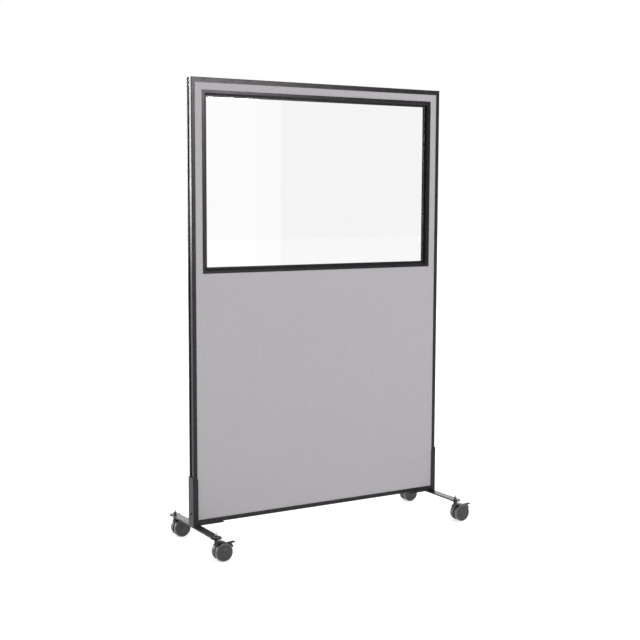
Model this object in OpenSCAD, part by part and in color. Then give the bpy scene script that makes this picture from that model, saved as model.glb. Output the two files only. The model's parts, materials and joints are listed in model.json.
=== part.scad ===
// Mobile office partition: a fabric-covered framed panel with a clear window in its
// upper part, held by a steel socket and a flat foot at each end, on four
// twin-wheel braked casters. X runs along the panel, Y through it, Z up from the floor.

/* [Panel] */
// Width of the panel over its end posts
panel_w = 1225.55; // [1000:0.05:1500]
// Height of the panel, from its bottom edge to its top edge
panel_h = 1828.8; // [1600:0.1:2000]
// Thickness of the panel over the frame's front and back faces
panel_t = 44.45; // [40:0.05:52]
// Clear height from the floor to the panel's bottom edge
floor_gap = 106.5; // [100:0.1:120]
// Width of the end posts' faces
post_face = 17; // [14:0.5:24]
// Height of the top rail's face
top_face = 20; // [14:0.5:24]
// Height of the bottom rail's face
bottom_face = 18; // [14:0.5:24]
// Wall of the posts and rails
frame_wall = 2; // [1.2:0.1:2.5]
// Depth of the groove down each end post
groove_depth = 4; // [3:0.5:6]
// Width of the lip on each side of that groove
groove_lip = 9; // [6:0.5:12]
// Radius of the frame's outer edges
edge_r = 2.5; // [0.5:0.1:3]

/* [Infill] */
// Depth of the fabric's surface below the frame's face
fabric_drop = 2.1; // [1.5:0.1:3]
// Thickness of the woven cover
fabric_t = 0.8; // [0.5:0.1:1.2]
// Thickness of the backing boards
board_t = 3; // [2:0.5:5]
// Face width of the timber members in the core
core_member = 30; // [24:1:50]
// Number of hollow bays under the window
core_bays = 3; // [2:1:5]

/* [Window] */
// Width of the window over the outside of its trim
window_w = 1128.8; // [800:0.1:1140]
// Height of the window over the outside of its trim
window_h = 738.7; // [500:0.1:740]
// Height of the trim's lower edge above the panel's bottom edge
window_sill = 1039.8; // [1000:0.1:1040]
// Flat face of the trim
trim_flat = 11; // [8:0.5:14]
// Bevel of the trim, from its flat face to its reveal
trim_bevel = 6.5; // [4:0.5:8]
// Drop of that bevel
bevel_drop = 4.5; // [2:0.5:6]
// Width of the glazing lip inside the reveal
trim_lip = 7; // [4:0.5:8]
// Depth of the lip below the frame's face
reveal_depth = 13.5; // [10:0.1:14]
// Wall of the trim
trim_wall = 2; // [1.5:0.1:2.5]
// Thickness of the clear pane
pane_t = 6; // [4:0.5:8]

/* [Sockets and feet] */
// Height of the steel socket above the panel's bottom edge
socket_h = 198; // [120:1:260]
// Wall of the socket
socket_wall = 3; // [2:0.5:4]
// Radius of the socket's bent edges
bend_r = 3.5; // [3:0.1:4]
// Thickness of the socket's floor plate, which the panel stands on
socket_floor = 7; // [5:0.1:8]
// Drop of the top of the socket's sides, from its end wall to their free edges
socket_drop = 9; // [1:0.5:20]
// Length of the socket along the panel
socket_len = 22.5; // [20:0.5:40]
// Reach of the floor plate under the panel
tongue_len = 137; // [125:1:180]
// Length of the foot, from tip to tip
foot_len = 450; // [400:0.1:600]
// Width of the foot
foot_w = 38; // [34:1:46]
// Radius of the foot's round ends
foot_end_r = 22.5; // [20:0.5:26]
// Thickness of the foot plate
foot_t = 6.35; // [5:0.05:8]

/* [Casters] */
// Diameter of the wheels
wheel_d = 75; // [70:1:78]
// Width of each wheel
wheel_w = 16; // [14:0.5:17]
// Width of the caster body's web between the wheels
web_w = 15; // [14:0.1:16]
// Distance from the stem's axis to the axle
trail = 26; // [25:0.5:28]
// Diameter of the stem's swivel pin
pin_d = 8; // [7:0.5:9]
// Diameter of the stem's threaded end
thread_d = 8; // [6:1:9]
// Diameter of the axle
axle_d = 6; // [5:0.5:8]
// Radial running clearance of the swivel, the wheels and the pedals
run_gap = 0.05; // [0.01:0.01:0.1]

/* [Hidden] */
$fn = 48;
EPS = 0.01;

// The feet's outer edges stand a little proud of the sockets' end walls.
socket_gap = 0.8;
side_gap = 0.2;
foot_proud = 1.4;
socket_x = panel_w / 2 + socket_gap + socket_wall;
foot_x = socket_x + foot_proud - foot_w / 2;
stem_y = foot_len / 2 - foot_end_r;

// Brake pedal about the axle: its shoe as radii and angles, its pad as lengths.
shoe_in = 41;
shoe_out = 49;
shoe_from = 18;
shoe_to = 42;
pad_in = 29;
pad_out = 55;
pad_low = 30.5;
pad_high = 35;
pad_slope = 2;
pad_w = 20;

// The foot ends reach furthest to -X and the pedals furthest to +X.
pad_reach = trail + pad_out;
panel_x = (foot_end_r - pad_reach) / 2;

// Heights above the floor.
panel_z = floor_gap;
foot_top = panel_z - socket_floor;
foot_bottom = foot_top - foot_t;

// Layers through the panel, measured from its middle plane.
face_y = panel_t / 2;
fabric_y = face_y - fabric_drop;
board_y = fabric_y - fabric_t;
core_y = board_y - board_t;
infill_gap = 4;
infill_edge = groove_depth + frame_wall + infill_gap;
infill_w = panel_w - 2 * infill_edge;
infill_bottom = frame_wall + infill_gap;
infill_h = panel_h - 2 * infill_bottom;

// Window, in heights above the panel's bottom edge.
trim_inner = trim_flat + trim_bevel;
trim_total = trim_inner + trim_lip;
hole_inset = 10;
trim_y = face_y - reveal_depth;
lip_y = trim_y - trim_wall;
trim_edge = 0.5;
trim_heel = 0.6;
gasket_wall = 2;
gasket_inset = trim_inner - trim_wall;
pane_inset = gasket_inset + gasket_wall;
gasket_reveal = 1;
window_mid = window_sill + window_h / 2;

// Fasteners.
// A head's profile and its hexagon socket are shares of its width and height.
head_side = 0.35;
head_shoulder = [0.42, 0.75];
head_crown = 0.3;
head_key = 0.42;
head_key_floor = 0.45;
screw_d = 4;
screw_head_d = 7.5;
screw_head_h = 2.2;
bolt_d = 6;
bolt_head_d = 12;
bolt_head_h = 3.4;
bolt_len = 13;
bracket_leg = 34;
bracket_w = 24;
bracket_t = 3;
bracket_screw_z = [12, 30];
socket_bolt_z = 43;
tongue_bolt_x = [54, 106];
foot_bolt_y = 13;
foot_bolt_end = 1;
nut_af = 13;
nut_h = 6.8;
washer_d = 17;
washer_t = 1.6;
stud_out = 10.5;

// Caster, measured from the stem's axis on the floor.
wheel_r = wheel_d / 2;
tread_t = 4.5;
rim_r = wheel_r - tread_t;
wheel_gap = 0.5;
wheel_edge = 0.6;
rim_chamfer = 0.8;
face_dish = 1.8;
cap_r = 12;
cap_step = 1;
cap_drop = 0.6;
crown = 2.2;
crown_in = 0.6;
axle_inset = 4;
end_gap = 0.3;
wheel_y = web_w / 2 + wheel_gap;
wheel_side = wheel_y + wheel_w;
hood_gap = 0.7;
hood_wall = 1.5;
hood_r = wheel_r + hood_gap + hood_wall;
hood_w = 2 * (wheel_side - wheel_gap);
hood_front = 140;
hood_back = 62;
web_front = 196;
web_back = 46;
web_hub_r = rim_r - 2;
collar_r = 8.5;
collar_top = foot_bottom - 5.4;
collar_bottom = 58;
flange_r = 6.5;
flange_gap = 0.6;
pin_bottom = 48;
pin_floor_gap = 2;
pedal_pivot_r = 30.5;
pedal_pivot_a = 57;
pedal_pin_d = 4;
pedal_pin_len = 12.4;
pedal_barrel_r = 4;
pedal_arm_w = 7.4;
pedal_arm_in = 27;
pedal_arm_out = 43;
pedal_arm_from = 30;
pedal_slot_w = 8.2;
pedal_slot_r = 22;
pedal_slot_from = -2;
pedal_slot_to = 72;
hub_r = 9;
dish = 2;
rim_lip = 4;

// Longer than any hole is deep, for the cutters.
CUT = 60;

// Each caster: its name, the side of the panel (-1 left) and of the foot (-1 front).
CASTERS = [
    ["front_left", -1, -1],
    ["front_right", 1, -1],
    ["back_left", -1, 1],
    ["back_right", 1, 1]
];
CASTER_PARTS = [
    "hood", "axle", "front_wheel", "front_tread", "back_wheel", "back_tread", "brake_pedal"
];
FRAME_PARTS = [
    "left_post", "right_post", "top_rail", "bottom_rail", "corner_brackets",
    "corner_screws", "core_frame", "front_board", "back_board", "front_fabric",
    "back_fabric", "window_pane", "pane_gasket", "front_trim_sill", "front_trim_head",
    "front_trim_left", "front_trim_right", "back_trim_sill", "back_trim_head",
    "back_trim_left", "back_trim_right", "left_socket", "right_socket", "left_foot",
    "right_foot", "socket_bolts", "tongue_bolts", "foot_bolts", "stem_nuts",
    "stem_washers", "caster_stems"
];

CHARCOAL = [0.22, 0.22, 0.23];
ZINC = [0.75, 0.76, 0.78];
NYLON = [0.16, 0.16, 0.17];
RUBBER = [0.30, 0.30, 0.31];

// ---------- places ----------

// Moves a shape drawn about the panel's middle, at its bottom edge, to its place.
module at_panel() {
    translate([panel_x, 0, panel_z]) children();
}

// Draws a shape made for the left end there, or mirrored at the right end.
module at_end(side) {
    at_panel() mirror([side > 0 ? 1 : 0, 0, 0]) children();
}

// Moves a shape drawn about a stem's axis, on the floor, to one caster's place.
module at_caster(side, face) {
    translate([panel_x + side * foot_x, face * stem_y, 0]) children();
}

// Repeats a shape at all four stems.
module at_casters() {
    for (c = CASTERS) at_caster(c[1], c[2]) children();
}

// A box from its lowest corner to its highest corner.
module block(low, high) {
    translate(low) cube(high - low);
}

// ---------- panel frame ----------

// A rectangle standing on the X axis, centred on it, with its two lower corners rounded.
module rounded_base(w, h, r) {
    translate([-w / 2 + r, 0]) square([w - 2 * r, h]);
    translate([-w / 2, r]) square([w, h - r]);
    for (s = [-1, 1]) translate([s * (w / 2 - r), r]) circle(r = r);
}

// Section of an end post, its end face along X: two lips, a web behind them, two walls.
module post_section() {
    inner_w = panel_t - 2 * frame_wall;
    mouth_w = panel_t - 2 * groove_lip;
    difference() {
        rounded_base(panel_t, post_face, edge_r);
        translate([-inner_w / 2, groove_depth + frame_wall]) square([inner_w, post_face]);
        translate([-inner_w / 2, frame_wall]) square([inner_w, groove_depth - frame_wall]);
        translate([-mouth_w / 2, -frame_wall]) square([mouth_w, 2 * frame_wall + EPS]);
    }
}

module end_post() {
    difference() {
        translate([-panel_w / 2, 0, 0]) rotate([0, 0, -90]) {
            linear_extrude(height = panel_h) post_section();
        }
        corner_screw_places() cylinder(d = screw_d, h = CUT, center = true);
        socket_bolt_place() cylinder(d = bolt_d, h = CUT, center = true);
    }
}

module left_post() {
    color(CHARCOAL) at_end(-1) end_post();
}

module right_post() {
    color(CHARCOAL) at_end(1) end_post();
}

// A U-shaped rail drawn with its web below: walls between the posts, web on to their webs.
module rail(face_h) {
    inner_w = panel_t - 2 * frame_wall;
    run = panel_w - 2 * post_face;
    web_run = panel_w - 2 * (groove_depth + frame_wall);
    rotate([90, 0, 90]) linear_extrude(height = run, center = true) difference() {
        rounded_base(panel_t, face_h, edge_r);
        translate([-inner_w / 2, frame_wall]) square([inner_w, face_h]);
    }
    translate([-web_run / 2, -inner_w / 2, 0]) cube([web_run, inner_w, frame_wall]);
}

module top_rail() {
    color(CHARCOAL) at_panel() translate([0, 0, panel_h]) mirror([0, 0, 1]) rail(top_face);
}

module bottom_rail() {
    color(CHARCOAL) at_panel() difference() {
        rail(bottom_face);
        for (s = [-1, 1]) mirror([s > 0 ? 1 : 0, 0, 0]) {
            tongue_bolt_places() cylinder(d = bolt_d, h = CUT, center = true);
        }
    }
}

// The two screws of each corner of the left post, their axes along X.
module corner_screw_places() {
    for (z = [for (s = bracket_screw_z) each [s, panel_h - s]]) {
        translate([-panel_w / 2 + groove_depth, 0, z]) rotate([0, 90, 0]) children();
    }
}

// An angle bracket in each corner, behind the post's web and against the rail's web.
module corner_bracket() {
    corner_x = -panel_w / 2 + groove_depth + frame_wall;
    difference() {
        union() {
            block(
                [corner_x, -bracket_w / 2, frame_wall],
                [corner_x + bracket_t, bracket_w / 2, frame_wall + bracket_leg]
            );
            block(
                [corner_x, -bracket_w / 2, frame_wall],
                [corner_x + bracket_leg, bracket_w / 2, frame_wall + bracket_t]
            );
        }
        corner_screw_places() cylinder(d = screw_d, h = CUT, center = true);
    }
}

module corner_brackets() {
    color(ZINC) for (side = [-1, 1]) at_end(side) {
        corner_bracket();
        translate([0, 0, panel_h]) mirror([0, 0, 1]) corner_bracket();
    }
}

// Pan-head screws in the end grooves, holding the posts to the corner brackets.
module corner_screws() {
    color(ZINC) for (side = [-1, 1]) at_end(side) corner_screw_places() {
        cylinder(d = screw_d, h = frame_wall + bracket_t);
        rotate([180, 0, 0]) pan_head(screw_head_d, screw_head_h);
    }
}

// A low domed screw head standing on the plane z = 0, with a hexagon socket.
module pan_head(d, h) {
    difference() {
        rotate_extrude() polygon([
            [0, 0],
            [d / 2, 0],
            [d / 2, h * head_side],
            [d * head_shoulder[0], h * head_shoulder[1]],
            [d * head_crown, h],
            [0, h]
        ]);
        translate([0, 0, h * head_key_floor]) cylinder(d = d * head_key, h = h, $fn = 6);
    }
}

// ---------- infill ----------

// The opening that is cut for the window through a layer of the infill.
module window_hole() {
    block(
        [-window_w / 2 + hole_inset, -panel_t, window_sill + hole_inset],
        [window_w / 2 - hole_inset, panel_t, window_sill + window_h - hole_inset]
    );
}

// One layer of the infill between two depths, with the window's opening.
module infill_layer(near, far) {
    difference() {
        block(
            [-infill_w / 2, near, infill_bottom],
            [infill_w / 2, far, infill_bottom + infill_h]
        );
        window_hole();
    }
}

// Timber core: a perimeter, a frame round the window and rails between the hollow bays.
module core_frame() {
    bay_w = infill_w - 2 * core_member;
    bays_bottom = infill_bottom + core_member;
    bays_top = window_sill + hole_inset - core_member;
    bay_h = (bays_top - bays_bottom - (core_bays - 1) * core_member) / core_bays;
    color("burlywood") at_panel() difference() {
        infill_layer(-core_y, core_y);
        for (i = [0 : core_bays - 1]) {
            translate([-bay_w / 2, -panel_t / 2, bays_bottom + i * (bay_h + core_member)]) {
                cube([bay_w, panel_t, bay_h]);
            }
        }
    }
}

module front_board() {
    color("peru") at_panel() infill_layer(-board_y, -core_y);
}

module back_board() {
    color("peru") at_panel() infill_layer(core_y, board_y);
}

module front_fabric() {
    color([0.69, 0.68, 0.69]) at_panel() infill_layer(-fabric_y, -board_y);
}

module back_fabric() {
    color([0.69, 0.68, 0.69]) at_panel() infill_layer(board_y, fabric_y);
}

// ---------- window ----------

// Outline of the window set in from the outside of its trim, as a slab through Y.
module window_slab(inset, half_t) {
    block(
        [-window_w / 2 + inset, -half_t, window_sill + inset],
        [window_w / 2 - inset, half_t, window_sill + window_h - inset]
    );
}

module window_pane() {
    color([0.9, 0.95, 1, 0.35]) at_panel() window_slab(pane_inset, pane_t / 2);
}

// A channel of rubber round the pane's edge, squeezed between the two trims.
module pane_gasket() {
    color("black") at_panel() difference() {
        window_slab(gasket_inset, lip_y);
        window_slab(trim_total - gasket_reveal, panel_t);
        window_slab(pane_inset, pane_t / 2);
    }
}

// Section of the front trim: x is depth along Y and y runs inward from the outer edge.
module trim_section() {
    face = -face_y;
    polygon([
        [face + trim_edge, 0],
        [face, trim_edge],
        [face, trim_flat],
        [face + bevel_drop, trim_inner],
        [-trim_y, trim_inner],
        [-trim_y, trim_total],
        [-lip_y, trim_total],
        [-lip_y, gasket_inset],
        [face + bevel_drop + 2 * trim_edge, gasket_inset],
        [-fabric_y, trim_flat - trim_heel],
        [-fabric_y, 0]
    ]);
}

// A straight length of trim along X with its ends mitred at 45 degrees.
module trim_strip(run) {
    intersection() {
        rotate([90, 0, 90]) linear_extrude(height = run, center = true) trim_section();
        rotate([90, 0, 0]) linear_extrude(height = 2 * panel_t, center = true) polygon([
            [-run / 2, 0],
            [run / 2, 0],
            [run / 2 - trim_total, trim_total],
            [-run / 2 + trim_total, trim_total]
        ]);
    }
}

// One side of the trim: turn 0 is the sill, 90 the right, 180 the head, 270 the left.
module trim_side(turn) {
    upright = turn == 90 || turn == 270;
    run = upright ? window_h : window_w;
    reach = upright ? window_w / 2 : window_h / 2;
    at_panel() translate([0, 0, window_mid]) rotate([0, -turn, 0]) {
        translate([0, 0, -reach]) trim_strip(run);
    }
}

module front_trim(turn) {
    color(CHARCOAL) trim_side(turn);
}

module back_trim(turn) {
    color(CHARCOAL) mirror([0, 1, 0]) trim_side(turn);
}

// ---------- sockets and feet ----------

// The bolt through the left socket's end wall and the post's web, its axis along X.
module socket_bolt_place() {
    translate([-socket_x, 0, socket_bolt_z]) rotate([0, 90, 0]) children();
}

// The bolts up through the left floor plate into the bottom rail, axes along Z.
module tongue_bolt_places() {
    for (x = tongue_bolt_x) translate([-panel_w / 2 + x, 0, -socket_floor]) children();
}

// The bolts up through the left foot into the floor plate, axes along Z.
module foot_bolt_places() {
    for (s = [-1, 1]) {
        translate([-foot_x, s * foot_bolt_y, -socket_floor - foot_t]) children();
    }
}

// A steel channel round the panel's end, on a floor plate that reaches under the panel.
module socket() {
    inner_w = panel_t + 2 * side_gap;
    outer_w = inner_w + 2 * socket_wall;
    difference() {
        union() {
            translate([-socket_x, 0, 0]) rotate([0, 0, -90]) {
                linear_extrude(height = socket_h) difference() {
                    rounded_base(outer_w, socket_len, bend_r);
                    translate([-inner_w / 2, socket_wall]) square([inner_w, socket_len]);
                }
                translate([0, 0, -socket_floor]) linear_extrude(height = socket_floor) {
                    rounded_base(outer_w, socket_len, bend_r);
                }
            }
            block(
                [-socket_x, -foot_w / 2, -socket_floor],
                [-panel_w / 2 + tongue_len, foot_w / 2, 0]
            );
        }
        translate([-socket_x, 0, socket_h]) rotate([90, 0, 0]) {
            linear_extrude(height = 2 * panel_t, center = true) polygon([
                [bend_r, 0],
                [socket_len + EPS, -socket_drop],
                [socket_len + EPS, EPS],
                [bend_r, EPS]
            ]);
        }
        socket_bolt_place() cylinder(d = bolt_d, h = 2 * bolt_len, center = true);
        tongue_bolt_places() cylinder(d = bolt_d, h = CUT, center = true);
        foot_bolt_places() cylinder(d = bolt_d, h = foot_t + socket_floor - foot_bolt_end);
    }
}

module left_socket() {
    color(CHARCOAL) at_end(-1) socket();
}

module right_socket() {
    color(CHARCOAL) at_end(1) socket();
}

// A flat bar with round ends, across the end of the panel.
module foot() {
    translate([-foot_x, 0, -socket_floor - foot_t]) linear_extrude(height = foot_t) {
        difference() {
            union() {
                translate([-foot_w / 2, -stem_y]) square([foot_w, 2 * stem_y]);
                for (s = [-1, 1]) translate([0, s * stem_y]) circle(r = foot_end_r, $fn = 96);
            }
            for (s = [-1, 1]) translate([0, s * stem_y]) circle(d = thread_d);
            for (s = [-1, 1]) translate([0, s * foot_bolt_y]) circle(d = bolt_d);
        }
    }
}

module left_foot() {
    color(CHARCOAL) at_end(-1) foot();
}

module right_foot() {
    color(CHARCOAL) at_end(1) foot();
}

// Button-head bolts through the sockets' end walls into the posts.
module socket_bolts() {
    color(ZINC) for (side = [-1, 1]) at_end(side) socket_bolt_place() {
        cylinder(d = bolt_d, h = bolt_len);
        rotate([180, 0, 0]) pan_head(bolt_head_d, bolt_head_h);
    }
}

// Button-head bolts up through the floor plates into the bottom rail.
module tongue_bolts() {
    color(ZINC) for (side = [-1, 1]) at_end(side) tongue_bolt_places() {
        cylinder(d = bolt_d, h = socket_floor + frame_wall);
        rotate([180, 0, 0]) pan_head(bolt_head_d, bolt_head_h);
    }
}

// Button-head bolts up through the feet into the floor plates.
module foot_bolts() {
    color(ZINC) for (side = [-1, 1]) at_end(side) foot_bolt_places() {
        cylinder(d = bolt_d, h = foot_t + socket_floor - foot_bolt_end);
        rotate([180, 0, 0]) pan_head(bolt_head_d, bolt_head_h);
    }
}

// ---------- stems ----------

module stem_washers() {
    color(ZINC) at_casters() translate([0, 0, foot_top]) difference() {
        cylinder(d = washer_d, h = washer_t);
        cylinder(d = thread_d, h = CUT, center = true);
    }
}

// Hexagon nuts on the threaded ends of the stems, above the foot.
module stem_nuts() {
    color(CHARCOAL) at_casters() translate([0, 0, foot_top + washer_t]) difference() {
        cylinder(d = nut_af / cos(30), h = nut_h, $fn = 6);
        cylinder(d = thread_d, h = CUT, center = true);
    }
}

// Caster stems: a threaded end up through the foot, a flange under it and a pin.
module caster_stems() {
    flange_bottom = collar_top + flange_gap;
    color(ZINC) at_casters() {
        translate([0, 0, foot_bottom]) {
            cylinder(d = thread_d, h = foot_t + washer_t + nut_h + stud_out);
        }
        translate([0, 0, flange_bottom]) cylinder(r = flange_r, h = foot_bottom - flange_bottom);
        translate([0, 0, pin_bottom]) cylinder(d = pin_d, h = flange_bottom - pin_bottom);
    }
}

// ---------- casters ----------

// Moves a shape drawn about the axle, its axis along Y and its z across, to the axle.
module at_axle() {
    translate([trail, 0, wheel_r]) children();
}

// A disc about the axle between two distances along Y.
module axle_disc(r, from_y, to_y) {
    at_axle() translate([0, to_y, 0]) rotate([90, 0, 0]) {
        cylinder(r = r, h = to_y - from_y, $fn = 96);
    }
}

// A pie slice of the X-Z plane about the axle, as a slab across Y, between two angles.
module axle_sector(r, from_a, to_a, across) {
    steps = 6;
    at_axle() rotate([90, 0, 0]) linear_extrude(height = across, center = true) polygon(
        concat(
            [[0, 0]],
            [for (i = [0 : steps]) let (a = from_a + (to_a - from_a) * i / steps)
                2 * r * [cos(a), sin(a)]]
        )
    );
}

// The place of the pedal's hinge, its axis along Y.
module at_pedal_pivot() {
    at_axle() translate([
        pedal_pivot_r * cos(pedal_pivot_a), 0, pedal_pivot_r * sin(pedal_pivot_a)
    ]) rotate([90, 0, 0]) children();
}

// Body of the caster: a web between the wheels, a hood over them and the stem's collar.
module hood() {
    difference() {
        union() {
            intersection() {
                axle_disc(hood_r, -hood_w / 2, hood_w / 2);
                axle_sector(hood_r, hood_back, hood_front, hood_w);
            }
            axle_disc(web_hub_r, -web_w / 2, web_w / 2);
            intersection() {
                axle_disc(hood_r, -web_w / 2, web_w / 2);
                axle_sector(hood_r, web_back, web_front, web_w);
            }
            translate([0, 0, collar_bottom]) {
                cylinder(r = collar_r, h = collar_top - collar_bottom);
            }
        }
        for (s = [0, 1]) mirror([0, s, 0]) {
            axle_disc(wheel_r + hood_gap, web_w / 2, wheel_side + hood_gap);
        }
        translate([0, 0, pin_bottom - pin_floor_gap]) cylinder(d = pin_d + 2 * run_gap, h = CUT);
        axle_disc(axle_d / 2, -web_w, web_w);
        pedal_slot();
        at_pedal_pivot() {
            cylinder(
                d = pedal_pin_d + 2 * run_gap,
                h = pedal_pin_len + 2 * end_gap,
                center = true
            );
        }
    }
}

// Room in the web and the hood's rear for the pedal's arm over its whole travel.
module pedal_slot() {
    intersection() {
        difference() {
            axle_disc(2 * hood_r, -pedal_slot_w / 2, pedal_slot_w / 2);
            axle_disc(pedal_slot_r, -web_w, web_w);
        }
        axle_sector(2 * hood_r, pedal_slot_from, pedal_slot_to, pedal_slot_w);
    }
}

module axle() {
    half = wheel_side - axle_inset;
    axle_disc(axle_d / 2, -half, half);
}

// One wheel of the pair, on the +Y side: a closed outer face and a blind bore.
module wheel() {
    bore_len = wheel_w - axle_inset + end_gap;
    at_axle() rotate([-90, 0, 0]) translate([0, 0, wheel_y]) rotate_extrude($fn = 96) polygon([
        [axle_d / 2 + run_gap, 0],
        [hub_r, 0],
        [hub_r, dish],
        [rim_r - rim_lip, dish],
        [rim_r - rim_lip, wheel_edge],
        [rim_r, wheel_edge],
        [rim_r, wheel_w - 2 * rim_chamfer],
        [rim_r - rim_chamfer, wheel_w - rim_chamfer],
        [rim_r - rim_lip, wheel_w - rim_chamfer],
        [rim_r - rim_lip - cap_step, wheel_w - face_dish],
        [cap_r + cap_step, wheel_w - cap_drop],
        [cap_r, wheel_w],
        [0, wheel_w],
        [0, bore_len],
        [axle_d / 2 + run_gap, bore_len]
    ]);
}

// The wheel's tread, a ring with rounded edges.
module tread() {
    near = wheel_edge;
    far = wheel_w - 2 * wheel_edge;
    at_axle() rotate([-90, 0, 0]) translate([0, 0, wheel_y]) rotate_extrude($fn = 96) polygon([
        [rim_r, near],
        [wheel_r - crown, near],
        [wheel_r - crown_in, near + crown_in],
        [wheel_r, near + crown],
        [wheel_r, far - crown],
        [wheel_r - crown_in, far - crown_in],
        [wheel_r - crown, far],
        [rim_r, far]
    ]);
}

// Brake pedal: a barrel with trunnions, an arm, a shoe behind the treads and a pad.
module brake_pedal() {
    at_pedal_pivot() {
        cylinder(r = pedal_barrel_r, h = pedal_arm_w, center = true);
        cylinder(d = pedal_pin_d, h = pedal_pin_len, center = true);
    }
    intersection() {
        difference() {
            axle_disc(pedal_arm_out, -pedal_arm_w / 2, pedal_arm_w / 2);
            axle_disc(pedal_arm_in, -web_w, web_w);
        }
        axle_sector(pedal_arm_out, pedal_arm_from, pedal_pivot_a, pedal_arm_w);
    }
    intersection() {
        difference() {
            axle_disc(shoe_out, -pad_w / 2, pad_w / 2);
            axle_disc(shoe_in, -pad_w, pad_w);
        }
        axle_sector(shoe_out, shoe_from, shoe_to, pad_w);
    }
    at_axle() rotate([90, 0, 0]) linear_extrude(height = pad_w, center = true) polygon([
        [pad_in, pad_low],
        [shoe_out * cos(shoe_to), pad_low],
        [pad_out, pad_low + pad_slope],
        [pad_out, pad_high],
        [pad_in, pad_high - pad_slope]
    ]);
}

// ---------- assembly ----------

left_post();
right_post();
top_rail();
bottom_rail();
corner_brackets();
corner_screws();
core_frame();
front_board();
back_board();
front_fabric();
back_fabric();
window_pane();
pane_gasket();
front_trim(0);  // front_trim_sill
front_trim(90);  // front_trim_right
front_trim(180);  // front_trim_head
front_trim(270);  // front_trim_left
back_trim(0);  // back_trim_sill
back_trim(90);  // back_trim_right
back_trim(180);  // back_trim_head
back_trim(270);  // back_trim_left
left_socket();
right_socket();
left_foot();
right_foot();
socket_bolts();
tongue_bolts();
foot_bolts();
stem_nuts();
stem_washers();
caster_stems();

for (c = CASTERS) at_caster(c[1], c[2]) {
    color(NYLON) hood();
    color(ZINC) axle();
    color(NYLON) mirror([0, 1, 0]) wheel();
    color(RUBBER) mirror([0, 1, 0]) tread();
    color(NYLON) wheel();
    color(RUBBER) tread();
    color(NYLON) brake_pedal();
}
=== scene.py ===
"""Looks for the mobile partition panel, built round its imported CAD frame. Metres throughout."""

import json
import math

import bmesh
import bpy
from mathutils import Matrix, Vector


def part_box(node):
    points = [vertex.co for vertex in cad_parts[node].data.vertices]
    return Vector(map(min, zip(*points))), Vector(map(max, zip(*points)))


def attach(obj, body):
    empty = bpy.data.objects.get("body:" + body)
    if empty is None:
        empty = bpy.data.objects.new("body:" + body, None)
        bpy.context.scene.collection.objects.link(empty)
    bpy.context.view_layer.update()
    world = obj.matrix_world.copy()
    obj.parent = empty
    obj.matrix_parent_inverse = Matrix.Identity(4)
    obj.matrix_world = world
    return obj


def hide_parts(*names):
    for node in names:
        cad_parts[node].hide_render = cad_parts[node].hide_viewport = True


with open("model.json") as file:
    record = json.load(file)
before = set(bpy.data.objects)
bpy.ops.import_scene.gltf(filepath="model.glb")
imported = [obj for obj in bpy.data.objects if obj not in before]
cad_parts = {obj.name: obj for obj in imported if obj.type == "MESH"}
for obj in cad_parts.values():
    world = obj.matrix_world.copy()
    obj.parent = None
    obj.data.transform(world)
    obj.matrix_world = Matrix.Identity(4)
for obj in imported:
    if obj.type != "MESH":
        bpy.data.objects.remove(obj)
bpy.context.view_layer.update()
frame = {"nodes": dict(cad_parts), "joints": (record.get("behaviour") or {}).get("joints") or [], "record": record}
MM = 0.001
NODES = frame["nodes"]
SLOT_OF = {row["node"]: row["material_slot"] for row in frame["record"]["subparts"]}

# The panel's own box, from its two end posts.
PANEL_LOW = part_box("left_post")[0]
PANEL_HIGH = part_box("right_post")[1]
PANEL_MID = (PANEL_LOW + PANEL_HIGH) / 2


# ---------- node helpers ----------


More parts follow.
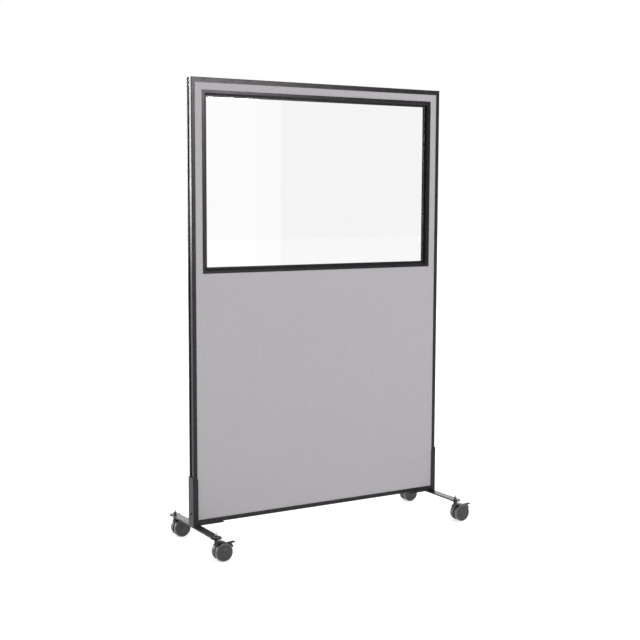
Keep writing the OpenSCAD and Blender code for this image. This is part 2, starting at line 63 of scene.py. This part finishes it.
class Shader:
    """A material's node tree with short calls to add and join nodes."""

    def __init__(self, name):
        self.material = bpy.data.materials.new(name)
        self.material.use_nodes = True
        self.tree = self.material.node_tree
        self.tree.nodes.clear()
        self.bsdf = self.add("ShaderNodeBsdfPrincipled")
        self.output = self.add("ShaderNodeOutputMaterial")
        self.join(self.bsdf, "BSDF", self.output, "Surface")
        self.coords = self.add("ShaderNodeTexCoord")

    def add(self, kind, inputs=None, **settings):
        node = self.tree.nodes.new(kind)
        for key, value in settings.items():
            setattr(node, key, value)
        for key, value in (inputs or {}).items():
            node.inputs[key].default_value = value
        return node

    def join(self, source, output, target, socket):
        self.tree.links.new(source.outputs[output], target.inputs[socket])

    def shine(self, **values):
        """Sets constants on the shader's own sockets."""
        for key, value in values.items():
            self.bsdf.inputs[key.replace("_", " ")].default_value = value

    def noise(self, scale, detail=2.0, roughness=0.5, stretch=(1, 1, 1)):
        """Noise in the object's own coordinates; returns the node."""
        mapping = self.add("ShaderNodeMapping")
        mapping.inputs["Scale"].default_value = stretch
        self.join(self.coords, "Object", mapping, "Vector")
        node = self.add(
            "ShaderNodeTexNoise", {"Scale": scale, "Detail": detail, "Roughness": roughness}
        )
        self.join(mapping, "Vector", node, "Vector")
        return node

    def ramp(self, source, output, stops):
        """A colour ramp; stops are (position, colour)."""
        node = self.add("ShaderNodeValToRGB")
        elements = node.color_ramp.elements
        while len(elements) < len(stops):
            elements.new(0.5)
        for element, (position, colour) in zip(elements, stops):
            element.position = position
            element.color = (*colour, 1)
        self.join(source, output, node, "Fac")
        return node

    def span(self, source, output, low, high, from_low=0.3, from_high=0.7):
        """Maps a value from one range to another; returns the node, output Result."""
        node = self.add("ShaderNodeMapRange")
        node.inputs["From Min"].default_value = from_low
        node.inputs["From Max"].default_value = from_high
        node.inputs["To Min"].default_value = low
        node.inputs["To Max"].default_value = high
        self.join(source, output, node, "Value")
        return node

    def math(self, operation, a, b=None):
        """A math node; a and b are numbers or (node, output) pairs, and so is the result."""
        node = self.add("ShaderNodeMath", operation=operation)
        for index, value in enumerate((a, b)):
            if isinstance(value, tuple):
                self.join(value[0], value[1], node, index)
            elif value is not None:
                node.inputs[index].default_value = value
        return (node, "Value")

    def bump(self, source, output, strength, distance):
        """Roughens the surface's normal by a height."""
        node = self.add("ShaderNodeBump", {"Strength": strength, "Distance": distance})
        self.join(source, output, node, "Height")
        self.join(node, "Normal", self.bsdf, "Normal")


def shade(colour, factor):
    """A lighter or darker version of a colour."""
    return tuple(min(1.0, channel * factor) for channel in colour)


# ---------- materials ----------

# Pointiness is 0.5 on a flat place and more on a convex edge; wear grows between these values.
CONVEX = (0.51, 0.60)


def edge_wear(shader, base, worn, strength):
    """Mixes a worn tint in along convex edges, broken up by noise; returns the colour node."""
    geometry = shader.add("ShaderNodeNewGeometry")
    scuffs = shader.noise(70, detail=6, roughness=0.7)
    edge = shader.span(geometry, "Pointiness", 0.0, 1.0, *CONVEX)
    patchy = shader.span(scuffs, "Fac", 0.0, 1.0, 0.45, 0.62)
    amount = shader.math("MULTIPLY", (edge, "Result"), (patchy, "Result"))
    amount = shader.math("MULTIPLY", amount, strength)
    mix = shader.add("ShaderNodeMix", data_type="RGBA")
    shader.join(amount[0], amount[1], mix, "Factor")
    shader.join(base, "Color", mix, "A")
    mix.inputs["B"].default_value = (*worn, 1)
    return mix


def powder_coat(name, colour, roughness):
    """Satin powder coat: fine orange peel, a faint mottle and slightly rubbed edges."""
    s = Shader(name)
    mottle = s.noise(9, detail=4, roughness=0.6)
    tint = s.ramp(mottle, "Fac", [(0.3, shade(colour, 0.88)), (0.7, shade(colour, 1.12))])
    worn = edge_wear(s, tint, shade(colour, 2.2), 0.5)
    s.join(worn, "Result", s.bsdf, "Base Color")
    smears = s.noise(26, detail=5, roughness=0.65)
    rough = s.span(smears, "Fac", roughness - 0.04, roughness + 0.05)
    s.join(rough, "Result", s.bsdf, "Roughness")
    peel = s.noise(1400, detail=1)
    s.bump(peel, "Fac", 0.10, 0.15 * MM)
    s.shine(Specular_IOR_Level=0.22, Specular_Tint=(1.0, 0.93, 1.0, 1))
    return s.material


def plated(name, colour, roughness):
    """Plated or blackened steel with fine turning marks."""
    s = Shader(name)
    spots = s.noise(420, detail=3)
    tint = s.ramp(spots, "Fac", [(0.3, shade(colour, 0.82)), (0.7, shade(colour, 1.08))])
    s.join(tint, "Color", s.bsdf, "Base Color")
    streaks = s.noise(900, detail=2, stretch=(1, 1, 0.2))
    rough = s.span(streaks, "Fac", roughness - 0.06, roughness + 0.08)
    s.join(rough, "Result", s.bsdf, "Roughness")
    s.bump(streaks, "Fac", 0.08, 0.1 * MM)
    s.shine(Metallic=1.0)
    return s.material


def moulded(name, colour, roughness):
    """Moulded nylon or rubber: a fine spark-eroded grain and a cloudy sheen."""
    s = Shader(name)
    clouds = s.noise(60, detail=4, roughness=0.6)
    tint = s.ramp(clouds, "Fac", [(0.3, shade(colour, 0.85)), (0.7, shade(colour, 1.18))])
    worn = edge_wear(s, tint, shade(colour, 1.9), 0.4)
    s.join(worn, "Result", s.bsdf, "Base Color")
    rough = s.span(clouds, "Fac", roughness - 0.05, roughness + 0.07)
    s.join(rough, "Result", s.bsdf, "Roughness")
    texture = s.noise(2200, detail=1)
    s.bump(texture, "Fac", 0.15, 0.1 * MM)
    return s.material


def timber(name, colour, grain_scale):
    """Plain sawn timber or hardboard, for the hidden core."""
    s = Shader(name)
    grain = s.noise(grain_scale, detail=5, roughness=0.6, stretch=(0.06, 1, 1))
    tint = s.ramp(grain, "Fac", [(0.35, shade(colour, 0.75)), (0.65, shade(colour, 1.15))])
    s.join(tint, "Color", s.bsdf, "Base Color")
    rough = s.span(grain, "Fac", 0.65, 0.85)
    s.join(rough, "Result", s.bsdf, "Roughness")
    s.bump(grain, "Fac", 0.2, 0.3 * MM)
    return s.material


# The spacing of the cloth's warp and weft threads, and how flat a thread's crown is.
THREAD = 1.15 * MM
CROWN = 0.35


def woven_cloth(name, colour):
    """Plain-woven panel cloth: round warp and weft threads that pass over each other in turn, with painted shade
    darkening the colour in the valleys between the threads.
    """
    s = Shader(name)
    axes = s.add("ShaderNodeSeparateXYZ")
    s.join(s.coords, "Object", axes, "Vector")
    wobble = s.noise(220, detail=2)
    drift = s.span(wobble, "Fac", -0.25, 0.25)
    across = s.math("ADD", s.math("MULTIPLY", (axes, "X"), 1 / THREAD), (drift, "Result"))
    along = s.math("ADD", s.math("MULTIPLY", (axes, "Z"), 1 / THREAD), (drift, "Result"))
    warp = s.math("ABSOLUTE", s.math("SINE", s.math("MULTIPLY", across, math.pi)))
    weft = s.math("ABSOLUTE", s.math("SINE", s.math("MULTIPLY", along, math.pi)))
    cells = s.math("ADD", s.math("FLOOR", across), s.math("FLOOR", along))
    over = s.math("MODULO", s.math("ABSOLUTE", cells), 2.0)
    under = s.math("SUBTRACT", 1.0, over)
    warp_top = s.math("MULTIPLY", warp, s.math("POWER", weft, CROWN))
    warp_high = s.math("MULTIPLY", warp_top, over)
    weft_top = s.math("MULTIPLY", weft, s.math("POWER", warp, CROWN))
    weft_high = s.math("MULTIPLY", weft_top, under)
    height = s.math("ADD", warp_high, weft_high)
    slubs = s.noise(520, detail=3, roughness=0.6, stretch=(1, 1, 0.12))
    fibre = s.span(slubs, "Fac", 0.95, 1.05)
    # Painted shade: the cloth's colour is darkened where the weave's height is low, in the valleys between
    # threads.
    valley_shade = s.span(height[0], height[1], 0.82, 1.06, 0.0, 1.0)
    shade_and_tone = s.math("MULTIPLY", (valley_shade, "Result"), (fibre, "Result"))
    mottle = s.noise(3.2, detail=4, roughness=0.55)
    wash = s.span(mottle, "Fac", 0.992, 1.008)
    shade_and_tone = s.math("MULTIPLY", shade_and_tone, (wash, "Result"))
    # The dye colour multiplied by the painted valley shade, the yarn's own slubs and a faint random mottle.
    dye_and_shade = s.add("ShaderNodeMix", data_type="RGBA", blend_type="MULTIPLY")
    dye_and_shade.inputs["Factor"].default_value = 1.0
    dye_and_shade.inputs["A"].default_value = (*colour, 1)
    s.join(shade_and_tone[0], shade_and_tone[1], dye_and_shade, "B")
    s.join(dye_and_shade, "Result", s.bsdf, "Base Color")
    rough = s.span(height[0], height[1], 0.95, 0.84, 0.0, 1.0)
    s.join(rough, "Result", s.bsdf, "Roughness")
    s.bump(height[0], height[1], 0.35, 0.25 * MM)
    s.shine(Specular_IOR_Level=0.2, Sheen_Weight=0.15, Sheen_Roughness=0.5)
    return s.material


def clear_sheet(name):
    """Clear glazing with a trace of grey in it and faint wipe marks in its gloss."""
    s = Shader(name)
    wipes = s.noise(5, detail=6, roughness=0.7, stretch=(1, 1, 3))
    rough = s.span(wipes, "Fac", 0.0, 0.03)
    s.join(rough, "Result", s.bsdf, "Roughness")
    s.shine(
        Base_Color=(0.934, 0.930, 0.938, 1),
        Transmission_Weight=1.0,
        IOR=1.49,
        Specular_IOR_Level=0.5,
    )
    return s.material


CHARCOAL = (0.0108, 0.0100, 0.0110)

# One material for each of the record's slots.
MATERIALS = {
    "frame_paint": powder_coat("frame_paint", CHARCOAL, 0.27),
    "trim_paint": powder_coat("trim_paint", shade(CHARCOAL, 0.6), 0.25),
    "steel_paint": powder_coat("steel_paint", CHARCOAL, 0.34),
    "panel_fabric": woven_cloth("panel_fabric", (0.347, 0.335, 0.349)),
    "clear_pane": clear_sheet("clear_pane"),
    "gasket_rubber": moulded("gasket_rubber", (0.012, 0.012, 0.013), 0.6),
    "timber": timber("timber", (0.55, 0.38, 0.22), 30),
    "hardboard": timber("hardboard", (0.22, 0.13, 0.07), 120),
    "zinc": plated("zinc", (0.62, 0.63, 0.65), 0.28),
    "dark_fastener": plated("dark_fastener", (0.05, 0.05, 0.053), 0.34),
    "caster_nylon": moulded("caster_nylon", (0.0175, 0.0165, 0.0180), 0.36),
    "wheel_nylon": moulded("wheel_nylon", (0.0205, 0.0190, 0.0210), 0.36),
    "tread_rubber": moulded("tread_rubber", (0.095, 0.090, 0.096), 0.34),
}


def finish_of(piece, slot):
    """Gives a piece its material and names the record's slot."""
    if len(piece.material_slots) == 0:
        piece.data.materials.append(None)
    for material_slot in piece.material_slots:
        material_slot.material = MATERIALS[slot]


# ---------- CAD nodes: materials and eased edges ----------

# How wide the rounding of each slot's sharp edges is.
EASE = {
    "frame_paint": 0.5 * MM,
    "trim_paint": 0.45 * MM,
    "steel_paint": 0.7 * MM,
    "zinc": 0.2 * MM,
    "dark_fastener": 0.25 * MM,
    "caster_nylon": 0.5 * MM,
    "wheel_nylon": 0.35 * MM,
    "tread_rubber": 0.3 * MM,
    "clear_pane": 0.4 * MM,
}


WELD_REACH = 0.002 * MM
SHARP = math.radians(35)


def ease_edges(piece, width):
    """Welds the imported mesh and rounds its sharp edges."""
    weld = piece.modifiers.new("weld", "WELD")
    weld.merge_threshold = WELD_REACH
    bevel = piece.modifiers.new("ease", "BEVEL")
    bevel.width = width
    bevel.segments = 2
    bevel.limit_method = "ANGLE"
    bevel.angle_limit = SHARP


for node_name, node_object in NODES.items():
    node_slot = SLOT_OF[node_name]
    finish_of(node_object, node_slot)
    if node_slot in EASE:
        ease_edges(node_object, EASE[node_slot])


# ---------- panel cloth ----------

# How far the window's trim covers the cloth, and the largest square of the cloth's mesh.
HOLE_INSET = 10 * MM
GRID = 12 * MM
CLOTH = 0.8 * MM
# The cloth's turned edge: how far past the border and how far behind the face each step ends.
TURN = ((0.56 * MM, 0.24 * MM), (0.8 * MM, 0.8 * MM), (0.8 * MM, 3.4 * MM))
# The most that the cloth bulges from its board. It grows over FADE, which starts half of FADE
# in from an edge.
STAND = 0.3 * MM
FADE = 40 * MM


def grid_lines(marks, step):
    """Evenly spaced lines that pass through every mark, no further apart than step."""
    lines = []
    for low, high in zip(marks, marks[1:]):
        count = max(1, math.ceil((high - low) / step))
        lines += [low + (high - low) * i / count for i in range(count)]
    return lines + [marks[-1]]


def tension(x, z, phase):
    """How far the stretched cloth stands off its board, as a share of STAND: slow, low waves."""
    wave = math.sin(5.1 * x + 1.7 * z + phase) + math.sin(2.3 * x - 6.4 * z + 2 * phase)
    wave += 0.5 * math.sin(17 * x + 3 * z) * math.sin(11 * z + phase)
    return 0.5 + 0.2 * wave


def stretched_cloth(side):
    """The woven cover of one face, pulled over its board and turned in at every edge."""
    low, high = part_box(f"{side}_fabric")
    sill_low, sill_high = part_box(f"{side}_trim_sill")
    head_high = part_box(f"{side}_trim_head")[1]
    outward = -1 if side == "front" else 1
    face = low.y if side == "front" else high.y
    hole = (
        sill_low.x + HOLE_INSET, sill_high.x - HOLE_INSET,
        sill_low.z + HOLE_INSET, head_high.z - HOLE_INSET,
    )
    xs = grid_lines([low.x, hole[0], hole[1], high.x], GRID)
    zs = grid_lines([low.z, hole[2], hole[3], high.z], GRID)
    shell = bmesh.new()
    places = {}

    def corner(x, z):
        if (x, z) not in places:
            edge = min(x - low.x, high.x - x, z - low.z, high.z - z)
            gap_x = max(hole[0] - x, x - hole[1], 0)
            gap_z = max(hole[2] - z, z - hole[3], 0)
            edge = min(edge, math.hypot(gap_x, gap_z))
            ease = min(1, max(0, (edge - FADE / 2) / FADE))
            stand = STAND * ease * ease * (3 - 2 * ease) * tension(x, z, outward)
            places[x, z] = shell.verts.new((x, face + outward * stand, z))
        return places[x, z]

    for x0, x1 in zip(xs, xs[1:]):
        for z0, z1 in zip(zs, zs[1:]):
            if hole[0] < (x0 + x1) / 2 < hole[1] and hole[2] < (z0 + z1) / 2 < hole[3]:
                continue
            loop = [corner(x0, z0), corner(x1, z0), corner(x1, z1), corner(x0, z1)]
            shell.faces.new(loop if side == "front" else loop[::-1])

    def away(point):
        """The direction, across the face, in which a border point turns over its edge."""
        x = (point.x > high.x - MM) - (point.x < low.x + MM)
        z = (point.z > high.z - MM) - (point.z < low.z + MM)
        if x or z:
            return Vector((x, 0, z))
        x = (point.x < hole[0] + MM) - (point.x > hole[1] - MM)
        z = (point.z < hole[2] + MM) - (point.z > hole[3] - MM)
        return Vector((x, 0, z))

    # The faces are made one by one in a fixed order, so that every run gives the same mesh.
    border = [edge.link_loops[0] for edge in shell.edges if edge.is_boundary]
    rim = [(loop.vert, loop.link_loop_next.vert) for loop in border]
    turned = Vector((0, 0))
    for step in TURN:
        moved = {}
        for vertex in [vertex for pair in rim for vertex in pair]:
            if vertex not in moved:
                place = vertex.co + away(vertex.co) * (step[0] - turned.x)
                place.y -= outward * (step[1] - turned.y)
                moved[vertex] = shell.verts.new(place)
        for first, second in rim:
            shell.faces.new((second, first, moved[first], moved[second]))
        rim = [(moved[first], moved[second]) for first, second in rim]
        turned = Vector(step)
    mesh = bpy.data.meshes.new(f"{side}_cloth")
    shell.to_mesh(mesh)
    shell.free()
    for polygon in mesh.polygons:
        polygon.use_smooth = True
    cloth = bpy.data.objects.new(f"{side}_cloth", mesh)
    bpy.context.scene.collection.objects.link(cloth)
    thick = cloth.modifiers.new("thick", "SOLIDIFY")
    thick.thickness = CLOTH
    thick.offset = -1
    finish_of(cloth, "panel_fabric")
    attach(cloth, "panel")
    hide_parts(f"{side}_fabric")


for side in ("front", "back"):
    stretched_cloth(side)


# ---------- small pieces on the casters ----------

JOINT_AT = {joint["name"]: Vector(joint["pos_m"]) for joint in frame["joints"]}
CASTERS = ("front_left", "front_right", "back_left", "back_right")
# The top of a pedal's pad, from its inner to its outer end, measured from the axle.
PAD_IN = Vector((29, 0, 33)) * MM
PAD_OUT = Vector((55, 0, 35)) * MM
RIB_SHARES = (0.3, 0.45, 0.6, 0.75, 0.9)
RIB = Vector((1.5, 16, 1.5)) * MM
RIB_ROUND = 0.4 * MM
# The stem's thread: M8 with a 1.25 mm pitch, the height of its ridge, how deep that is rooted,
# and the facets over which it runs out at its two ends.
STUD_R = 4 * MM
PITCH = 1.25 * MM
RIDGE = 0.28 * MM
ROOT = 0.1 * MM
HALF_RIDGE = 0.45 * PITCH
FACETS = 24
RUN_OUT = 6


def add_piece(name, shell, slot, body):
    """Turns a bmesh into a piece that rides on a body."""
    mesh = bpy.data.meshes.new(name)
    shell.to_mesh(mesh)
    shell.free()
    piece = bpy.data.objects.new(name, mesh)
    bpy.context.scene.collection.objects.link(piece)
    finish_of(piece, slot)
    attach(piece, body)


def grip_ribs(caster):
    """Moulded ribs across the top of a brake pedal's pad."""
    axle = JOINT_AT[f"{caster}_front_wheel_spin"]
    slope = PAD_OUT - PAD_IN
    turn = Matrix.Rotation(-math.atan2(slope.z, slope.x), 4, "Y")
    shell = bmesh.new()
    for share in RIB_SHARES:
        spot = axle + PAD_IN + slope * share
        place = Matrix.Translation(spot) @ turn @ Matrix.Diagonal((*RIB, 1))
        bmesh.ops.create_cube(shell, size=1, matrix=place)
    bmesh.ops.bevel(
        shell, geom=shell.edges[:], offset=RIB_ROUND, segments=3, affect="EDGES", profile=0.5
    )
    add_piece(f"{caster}_grip_ribs", shell, "caster_nylon", f"{caster}_pedal")


def stud_threads():
    """Rolled threads on the stem ends that stand above the nuts."""
    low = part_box("stem_nuts")[1].z
    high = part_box("caster_stems")[1].z - PITCH / 2
    shell = bmesh.new()
    for caster in CASTERS:
        centre = JOINT_AT[f"{caster}_swivel"]
        count = int((high - low) / PITCH * FACETS)
        rings = []
        for index in range(count + 1):
            angle = 2 * math.pi * index / FACETS
            z = low + (high - low) * index / count
            fade = min(1, index / RUN_OUT, (count - index) / RUN_OUT)
            ring = []
            for rise, lift in ((-ROOT, -HALF_RIDGE), (RIDGE * fade, 0), (-ROOT, HALF_RIDGE)):
                r = STUD_R + rise
                ring.append(shell.verts.new((
                    centre.x + r * math.cos(angle), centre.y + r * math.sin(angle), z + lift,
                )))
            rings.append(ring)
        for first, second in zip(rings, rings[1:]):
            for i in range(3):
                j = (i + 1) % 3
                shell.faces.new((first[i], first[j], second[j], second[i]))
        shell.faces.new(rings[0])
        shell.faces.new(rings[-1])
    bmesh.ops.recalc_face_normals(shell, faces=shell.faces)
    add_piece("stud_threads", shell, "zinc", "panel")


for caster in CASTERS:
    grip_ribs(caster)
stud_threads()


# ---------- camera, floor and light ----------


# The camera's place, from the middle of the panel's lower edge, its turns and its lens.
VIEWER = Vector((-2.6248, -4.4014, 1.3620))
YAW = math.radians(30.84)
PITCH_DOWN = math.radians(6.03)
ROLL = math.radians(0.214)
FILM_WIDTH = 36
FOCAL_LENGTH = 66.72
FAR_CLIP = 100


def make_camera():
    """The viewer stands in front of the panel and to its left, looking slightly down."""
    level = math.cos(PITCH_DOWN)
    ahead = Vector((math.sin(YAW) * level, math.cos(YAW) * level, -math.sin(PITCH_DOWN)))
    right = Vector((math.cos(YAW), -math.sin(YAW), 0))
    up = right.cross(ahead)
    right, up = (
        right * math.cos(ROLL) + up * math.sin(ROLL),
        up * math.cos(ROLL) - right * math.sin(ROLL),
    )
    data = bpy.data.cameras.new("camera")
    data.sensor_width = FILM_WIDTH
    data.lens = FOCAL_LENGTH
    data.clip_end = FAR_CLIP
    camera = bpy.data.objects.new("camera", data)
    bpy.context.scene.collection.objects.link(camera)
    base = Vector((PANEL_MID.x, PANEL_MID.y, PANEL_LOW.z))
    basis = Matrix((right, up, -ahead)).transposed().to_4x4()
    camera.matrix_world = Matrix.Translation(base + VIEWER) @ basis
    bpy.context.scene.camera = camera


# How bright the empty room looks.
ROOM = 1.0


def make_floor():
    """A plain pale floor past every view; through the pane it is as bright as the room."""
    reach = 30
    mesh = bpy.data.meshes.new("floor")
    corners = [(-reach, -reach, 0), (reach, -reach, 0), (reach, reach, 0), (-reach, reach, 0)]
    mesh.from_pydata(corners, [], [(0, 1, 2, 3)])
    floor = bpy.data.objects.new("floor", mesh)
    bpy.context.scene.collection.objects.link(floor)
    s = Shader("floor")
    grain = s.noise(3, detail=3)
    tint = s.ramp(grain, "Fac", [(0.3, (0.62, 0.62, 0.62)), (0.7, (0.63, 0.63, 0.63))])
    s.join(tint, "Color", s.bsdf, "Base Color")
    s.shine(
        Roughness=0.85, Specular_IOR_Level=0.05,
        Emission_Color=(1, 1, 1, 1), Emission_Strength=0.55,
    )
    path = s.add("ShaderNodeLightPath")
    level = s.add("ShaderNodeEmission", {"Strength": ROOM})
    seen = s.add("ShaderNodeMixShader")
    s.join(path, "Is Transmission Ray", seen, "Fac")
    s.join(s.bsdf, "BSDF", seen, 1)
    s.join(level, "Emission", seen, 2)
    s.join(seen, "Shader", s.output, "Surface")
    mesh.materials.append(s.material)


def area_light(name, place, target, size, power, through_glass=False):
    """A rectangular light that faces a target and that the camera doesn't see."""
    data = bpy.data.lights.new(name, "AREA")
    data.shape = "RECTANGLE"
    data.size, data.size_y = size
    data.energy = power
    light = bpy.data.objects.new(name, data)
    light.location = place
    light.rotation_euler = (Vector(target) - Vector(place)).to_track_quat("-Z", "Y").to_euler()
    light.visible_camera = False
    light.visible_transmission = through_glass
    bpy.context.scene.collection.objects.link(light)


# The ranges of a direction's Y and Z over which the room's light changes from level to level.
FRONT_TO_BACK = (-0.35, 0.35)
SIDE_TO_OVERHEAD = (0.18, 0.34)


def make_world(front, back, overhead):
    """A room that lights the panel more from behind and overhead than from in front.

    The camera, and rays through the pane, see it plain white at ROOM.
    """
    world = bpy.data.worlds.new("studio")
    world.use_nodes = True
    tree = world.node_tree
    background = tree.nodes["Background"]
    background.inputs["Color"].default_value = (1, 1, 1, 1)
    coords = tree.nodes.new("ShaderNodeTexCoord")
    axes = tree.nodes.new("ShaderNodeSeparateXYZ")
    tree.links.new(coords.outputs["Generated"], axes.inputs["Vector"])
    levels = []
    spans = (
        ("Y", (*FRONT_TO_BACK, front, back)),
        ("Z", (*SIDE_TO_OVERHEAD, 1, overhead)),
    )
    for axis, ends in spans:
        level = tree.nodes.new("ShaderNodeMapRange")
        level.interpolation_type = "SMOOTHSTEP"
        for name, value in zip(("From Min", "From Max", "To Min", "To Max"), ends):
            level.inputs[name].default_value = value
        tree.links.new(axes.outputs[axis], level.inputs["Value"])
        levels.append(level)
    product = tree.nodes.new("ShaderNodeMath")
    product.operation = "MULTIPLY"
    for index, level in enumerate(levels):
        tree.links.new(level.outputs["Result"], product.inputs[index])
    path = tree.nodes.new("ShaderNodeLightPath")
    seen = tree.nodes.new("ShaderNodeMath")
    seen.operation = "MAXIMUM"
    tree.links.new(path.outputs["Is Camera Ray"], seen.inputs[0])
    tree.links.new(path.outputs["Is Transmission Ray"], seen.inputs[1])
    shown = tree.nodes.new("ShaderNodeMix")
    tree.links.new(seen.outputs["Value"], shown.inputs["Factor"])
    tree.links.new(product.outputs["Value"], shown.inputs["A"])
    shown.inputs["B"].default_value = ROOM
    tree.links.new(shown.outputs["Result"], background.inputs["Strength"])
    bpy.context.scene.world = world


# The pane mirrors lights at one place, each wider than the last, so that the reflection has
# a stepped, soft side.
PANE_BOXES = 3
PANE_BOX_WIDE = 1.85
PANE_BOX_STEP = 0.3
PANE_BOX_TALL = 2.7

make_camera()
make_floor()
make_world(front=0.4, back=1.01, overhead=1.45)
area_light("key", (-3.5, -4.5, 4.2), (0, 0, 1.0), (2.6, 2.6), 36)
area_light("front_box", (2.7, -7.8, 3.5), (-0.5, 0, 1.8), (2.0, 2.0), 300)
for step in range(PANE_BOXES):
    box_size = (PANE_BOX_WIDE + PANE_BOX_STEP * step, PANE_BOX_TALL)
    area_light(f"pane_box_{step}", (2.7, -7.8, 1.75), (-0.5, 0, 1.5), box_size, 22)
area_light("right_box", (5.4, 0.6, 3.1), (-0.6, 0, 1.8), (1.4, 1.4), 60)
area_light("end_box", (-4.6, 8.6, 2.3), (-0.6, 0, 1.5), (2.4, 2.6), 290, through_glass=True)
area_light("back_strip", (5.2, 8.6, 3.0), (0, 0, 0.1), (6.8, 1.8), 110)
bpy.context.scene.view_settings.view_transform = "Standard"
